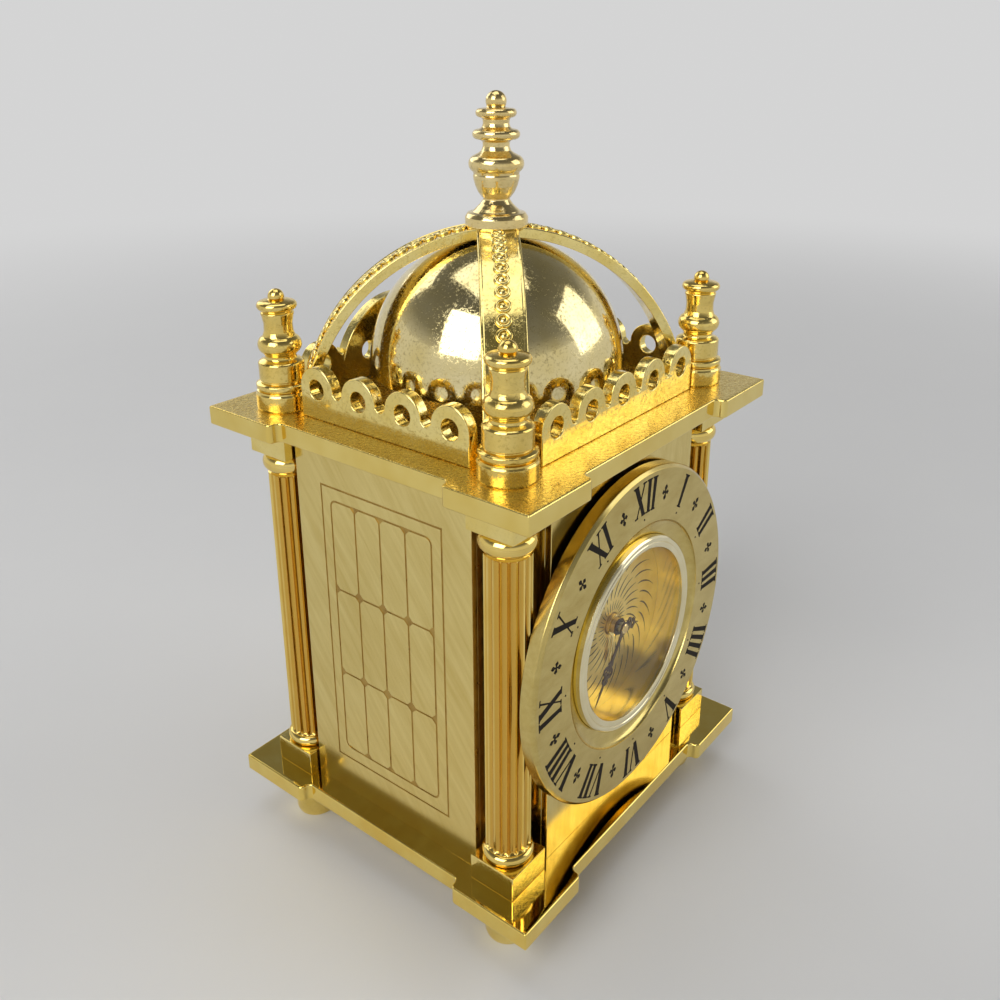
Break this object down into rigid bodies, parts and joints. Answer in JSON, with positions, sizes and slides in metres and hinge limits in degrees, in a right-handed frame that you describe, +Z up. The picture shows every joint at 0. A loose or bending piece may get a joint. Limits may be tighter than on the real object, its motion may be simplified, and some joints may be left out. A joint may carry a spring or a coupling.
{
  "type": "miniature lantern clock",
  "caption": "Miniature brass lantern clock with fluted columns, round roman dial, bell under a crossed strap arch, turned finials and a spring-driven alarm movement.",
  "frame": {"origin": "centre of the resting plane under the four feet", "axes": "+Z up, the dial faces -Y and the engraved left side panel faces -X"},
  "size_m": [0.0738, 0.07, 0.1388],
  "materials": {
    "brass_polished": "polished, gold-plated",
    "brass_satin": "satin, finely brushed",
    "bell_metal": "pale champagne plating, polished",
    "movement_brass": "plain machined",
    "steel": "turned and polished",
    "black_enamel": "gloss black",
    "dial_glass": "clear, flat"
  },
  "bodies": {
    "clock_case": {"base_plate": "brass_polished", "feet": "brass_polished", "column_blocks": "brass_polished", "column_front_left": "brass_polished", "column_front_right": "brass_polished", "column_back_left": "brass_polished", "column_back_right": "brass_polished", "tie_rods": "steel", "front_plate": "brass_polished", "left_panel": "brass_satin", "right_panel": "brass_satin", "rear_cover": "brass_satin", "top_plate": "brass_polished", "corner_finials": "brass_polished", "crown_straps": "brass_polished", "bell": "bell_metal", "bell_nut": "brass_polished", "crown_finial": "brass_polished", "gallery_front": "brass_polished", "gallery_left": "brass_polished", "gallery_right": "brass_polished", "gallery_rear": "brass_polished", "chapter_ring": "brass_satin", "bezel_ring": "bell_metal", "dial_glass": "dial_glass", "dial_disc": "brass_polished", "movement_front_plate": "movement_brass", "movement_back_plate": "movement_brass", "movement_pillars": "movement_brass", "case_screws": "brass_polished", "balance_bridge": "movement_brass"},
    "time_winding": {"time_winding_arbor": "steel", "time_winding_key": "brass_polished"},
    "alarm_winding": {"alarm_winding_arbor": "steel", "alarm_winding_key": "brass_polished"},
    "time_click": {"time_click": "steel"},
    "alarm_click": {"alarm_click": "steel"},
    "time_barrel": {"time_barrel": "movement_brass", "time_mainspring": "steel"},
    "alarm_barrel": {"alarm_barrel": "movement_brass", "alarm_mainspring": "steel"},
    "centre_wheel": {"centre_wheel": "movement_brass"},
    "third_wheel": {"third_wheel": "movement_brass"},
    "fourth_wheel": {"fourth_wheel": "movement_brass"},
    "escape_wheel": {"escape_wheel": "movement_brass"},
    "pallet_fork": {"pallet_fork": "steel"},
    "balance": {"balance_wheel": "movement_brass", "hairspring": "steel"},
    "hand_setting": {"hand_setting_arbor": "movement_brass"},
    "minute_hand": {"cannon_pinion": "steel", "minute_hand": "black_enamel", "hand_nut": "brass_polished"},
    "hour_hand": {"hour_wheel": "movement_brass", "hour_hand": "black_enamel"},
    "alarm_setting": {"alarm_setting_arbor": "movement_brass"},
    "alarm_hand": {"alarm_wheel": "movement_brass", "alarm_hand": "bell_metal"},
    "alarm_escape_wheel": {"alarm_escape_wheel": "movement_brass"},
    "bell_hammer": {"bell_hammer": "steel"},
    "alarm_stop": {"alarm_stop": "brass_polished"}
  },
  "joints": [
    {"name": "time_winding", "type": "hinge", "parent": "clock_case", "child": "time_winding", "pos_m": [-0.00383, 0, 0.03385], "axis": [0, -1, 0], "range_deg": [0, 1728]},
    {"name": "alarm_winding", "type": "hinge", "parent": "clock_case", "child": "alarm_winding", "pos_m": [0.008, 0, 0.06375], "axis": [0, -1, 0], "range_deg": [0, 1728]},
    {"name": "time_click_lift", "type": "hinge", "parent": "clock_case", "child": "time_click", "pos_m": [0.00247, 0, 0.02825], "axis": [0, 1, 0], "range_deg": [0, 10], "stiffness_Nm_per_rad": 0.002},
    {"name": "alarm_click_lift", "type": "hinge", "parent": "clock_case", "child": "alarm_click", "pos_m": [0.0017, 0, 0.06935], "axis": [0, 1, 0], "range_deg": [0, 10], "stiffness_Nm_per_rad": 0.002},
    {"name": "fourth_wheel_turn", "type": "hinge", "parent": "clock_case", "child": "fourth_wheel", "pos_m": [0.01167, 0, 0.03649], "axis": [0, 1, 0], "continuous": true},
    {"name": "escape_wheel_turn", "type": "hinge", "parent": "clock_case", "child": "escape_wheel", "pos_m": [0.01167, 0, 0.02857], "axis": [0, 1, 0], "continuous": true},
    {"name": "third_wheel_turn", "type": "hinge", "parent": "clock_case", "child": "third_wheel", "pos_m": [0.00947, 0, 0.0447], "axis": [0, 1, 0], "continuous": true},
    {"name": "centre_wheel_turn", "type": "hinge", "parent": "clock_case", "child": "centre_wheel", "pos_m": [0, 0, 0.04815], "axis": [0, 1, 0], "continuous": true},
    {"name": "time_barrel_turn", "type": "hinge", "parent": "clock_case", "child": "time_barrel", "pos_m": [-0.00383, 0, 0.03385], "axis": [0, 1, 0], "continuous": true},
    {"name": "pallet_swing", "type": "hinge", "parent": "clock_case", "child": "pallet_fork", "pos_m": [0.00697, 0, 0.02686], "axis": [0, 1, 0], "range_deg": [-4, 4]},
    {"name": "balance_swing", "type": "hinge", "parent": "clock_case", "child": "balance", "pos_m": [0.0004, 0, 0.02447], "axis": [0, 1, 0], "range_deg": [-270, 270], "stiffness_Nm_per_rad": 0.0000002},
    {"name": "hand_setting", "type": "hinge", "parent": "clock_case", "child": "hand_setting", "pos_m": [-0.0108, 0, 0.04815], "axis": [0, 1, 0], "continuous": true},
    {"name": "minute_hand_turn", "type": "hinge", "parent": "clock_case", "child": "minute_hand", "pos_m": [0, 0, 0.04815], "axis": [0, 1, 0], "continuous": true},
    {"name": "hour_hand_turn", "type": "hinge", "parent": "clock_case", "child": "hour_hand", "pos_m": [0, 0, 0.04815], "axis": [0, 1, 0], "continuous": true},
    {"name": "alarm_setting", "type": "hinge", "parent": "clock_case", "child": "alarm_setting", "pos_m": [-0.0051, 0, 0.05698], "axis": [0, 1, 0], "continuous": true},
    {"name": "alarm_hand_turn", "type": "hinge", "parent": "clock_case", "child": "alarm_hand", "pos_m": [0, 0, 0.04815], "axis": [0, 1, 0], "continuous": true},
    {"name": "alarm_barrel_turn", "type": "hinge", "parent": "clock_case", "child": "alarm_barrel", "pos_m": [0.008, 0, 0.06375], "axis": [0, 1, 0], "continuous": true},
    {"name": "alarm_escape_turn", "type": "hinge", "parent": "clock_case", "child": "alarm_escape_wheel", "pos_m": [-0.00406, 0, 0.06588], "axis": [0, 1, 0], "continuous": true},
    {"name": "hammer_swing", "type": "hinge", "parent": "clock_case", "child": "bell_hammer", "pos_m": [-0.00406, 0, 0.07278], "axis": [0, -1, 0], "range_deg": [0, 4], "stiffness_Nm_per_rad": 0.02},
    {"name": "alarm_stop_push", "type": "slide", "parent": "clock_case", "child": "alarm_stop", "axis": [0, -1, 0], "range_m": [0, 0.003]}
  ],
  "couplings": [
    {"joint": "escape_wheel_turn", "follows": "fourth_wheel_turn", "ratio": -8},
    {"joint": "third_wheel_turn", "follows": "fourth_wheel_turn", "ratio": -0.13333},
    {"joint": "centre_wheel_turn", "follows": "fourth_wheel_turn", "ratio": 0.016667},
    {"joint": "time_barrel_turn", "follows": "fourth_wheel_turn", "ratio": -0.0026042},
    {"joint": "minute_hand_turn", "follows": "hand_setting", "ratio": -3},
    {"joint": "hour_hand_turn", "follows": "hand_setting", "ratio": -0.25},
    {"joint": "alarm_hand_turn", "follows": "alarm_setting", "ratio": -0.25},
    {"joint": "alarm_escape_turn", "follows": "alarm_barrel_turn", "ratio": -6}
  ]
}
